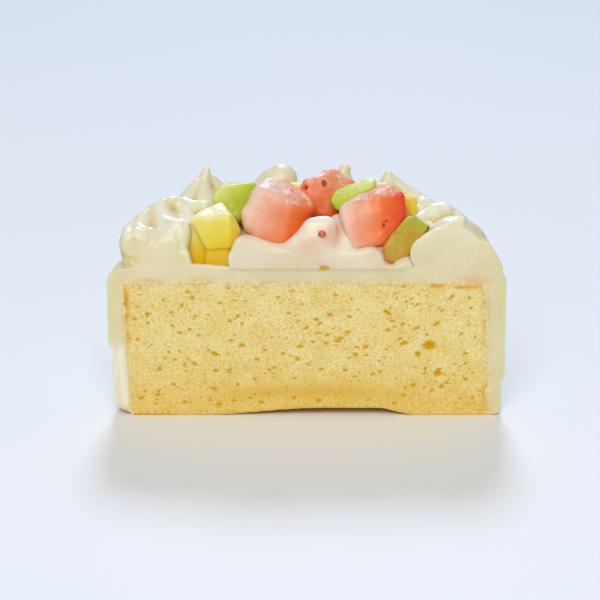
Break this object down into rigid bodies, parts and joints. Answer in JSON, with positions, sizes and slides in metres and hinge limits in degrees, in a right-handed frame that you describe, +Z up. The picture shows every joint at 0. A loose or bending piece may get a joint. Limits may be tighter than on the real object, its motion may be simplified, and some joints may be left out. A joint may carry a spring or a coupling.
{
  "type": "sponge cake half",
  "caption": "Half of a small round sponge cake, cut through the middle, coated with cream and topped with cream dollops and diced fruit.",
  "frame": {"origin": "centre of the bounding box at the base, on the surface that the cake stands on", "axes": "+X to the right along the cut face, +Y from the cut face to the round back, +Z up; the cut face is flat and looks along -Y"},
  "size_m": [0.12, 0.06, 0.0718],
  "materials": {
    "crumb": "pale yellow open sponge crumb, matte, with a thin browned crust",
    "cream": "ivory whipped cream, smooth, satin, slightly translucent",
    "bed_cream": "ivory whipped cream stained pink by strawberry juice, satin",
    "strawberry": "wet cut strawberry, salmon pink flesh with red skin on one side",
    "kiwi": "wet cut kiwi, translucent yellow green",
    "peach": "wet cut yellow peach, translucent"
  },
  "bodies": {
    "root": {"sponge": "crumb", "cream_coat": "cream", "cream_bed": "bed_cream", "dollop_1": "cream", "dollop_2": "cream", "dollop_3": "cream", "dollop_4": "cream", "dollop_5": "cream", "dollop_6": "cream", "dollop_7": "cream", "dollop_8": "cream", "dollop_9": "cream", "dollop_10": "cream", "strawberry_1": "strawberry", "strawberry_2": "strawberry", "strawberry_3": "strawberry", "strawberry_4": "strawberry", "kiwi_1": "kiwi", "kiwi_2": "kiwi", "kiwi_3": "kiwi", "kiwi_4": "kiwi", "peach_1": "peach", "peach_2": "peach", "peach_3": "peach", "peach_4": "peach", "peach_5": "peach", "peach_6": "peach"}
  },
  "joints": []
}
